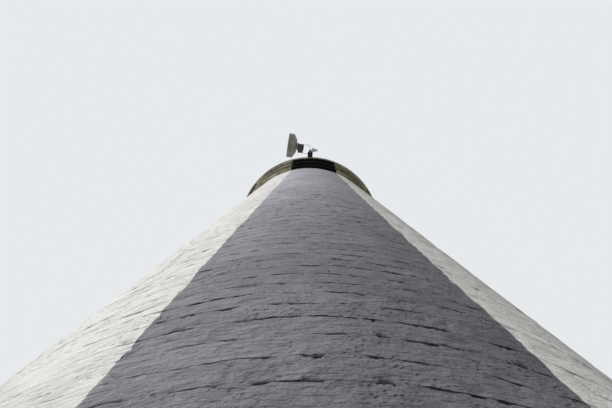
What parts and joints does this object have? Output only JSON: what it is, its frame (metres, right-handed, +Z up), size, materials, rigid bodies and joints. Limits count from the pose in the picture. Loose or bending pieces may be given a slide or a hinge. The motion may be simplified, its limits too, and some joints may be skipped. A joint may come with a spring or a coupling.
{
  "type": "lighthouse",
  "caption": "Round tapering masonry lighthouse with dark and white vertical stripes, a moulded cornice, railed gallery, glazed lantern and a microwave dish on a side mast.",
  "frame": {"origin": "centre of the round base at ground level", "axes": "+Z up the tower's axis, -Y to the front where the middle of a dark stripe faces, +Y to the doorway"},
  "size_m": [5.8799, 6.4767, 28.636],
  "materials": {
    "dark_paint": "matt dark grey masonry paint over blocks",
    "white_paint": "matt white masonry paint over blocks",
    "base_stone": "plain dressed stone",
    "cornice_stone": "lichen-stained stone, black paint over the dark stripes",
    "timber": "painted planks",
    "railing_iron": "white paint",
    "lantern_iron": "white paint",
    "roof_metal": "black paint",
    "glass": "clear",
    "rod_metal": "dull",
    "dish_white": "white powder coat",
    "radome": "matt grey sheet",
    "radio_grey": "dark grey powder coat",
    "antenna_plastic": "light grey plastic",
    "galvanised_steel": "dull galvanised"
  },
  "bodies": {
    "root": {"antenna_mast": "galvanised_steel", "base_slab": "base_stone", "corona": "cornice_stone", "dish_hub": "dish_white", "dish_radome": "radome", "dish_reflector": "dish_white", "dish_shroud": "dish_white", "dish_yoke": "galvanised_steel", "door_frame": "timber", "door_leaf": "timber", "door_lintel": "base_stone", "gallery_deck": "cornice_stone", "glazing_bars": "lantern_iron", "handrail": "railing_iron", "lantern_eaves": "lantern_iron", "lantern_glass": "glass", "lantern_roof": "roof_metal", "lantern_sill": "lantern_iron", "lantern_wall": "lantern_iron", "lightning_rod": "rod_metal", "lower_frieze": "cornice_stone", "lower_guard_rail": "railing_iron", "mast_bracket": "galvanised_steel", "neck_course": "cornice_stone", "plinth_course": "base_stone", "radio_unit": "radio_grey", "railing_posts": "railing_iron", "side_antenna": "antenna_plastic", "side_clamp": "galvanised_steel", "string_course": "cornice_stone", "upper_frieze": "cornice_stone", "upper_guard_rail": "railing_iron", "ventilator": "roof_metal", "wall_dark_1": "dark_paint", "wall_dark_2": "dark_paint", "wall_dark_3": "dark_paint", "wall_dark_4": "dark_paint", "wall_dark_5": "dark_paint", "wall_white_1": "white_paint", "wall_white_2": "white_paint", "wall_white_3_left_of_door": "white_paint", "wall_white_3_over_door": "white_paint", "wall_white_3_right_of_door": "white_paint", "wall_white_4": "white_paint", "wall_white_5": "white_paint"}
  },
  "joints": []
}
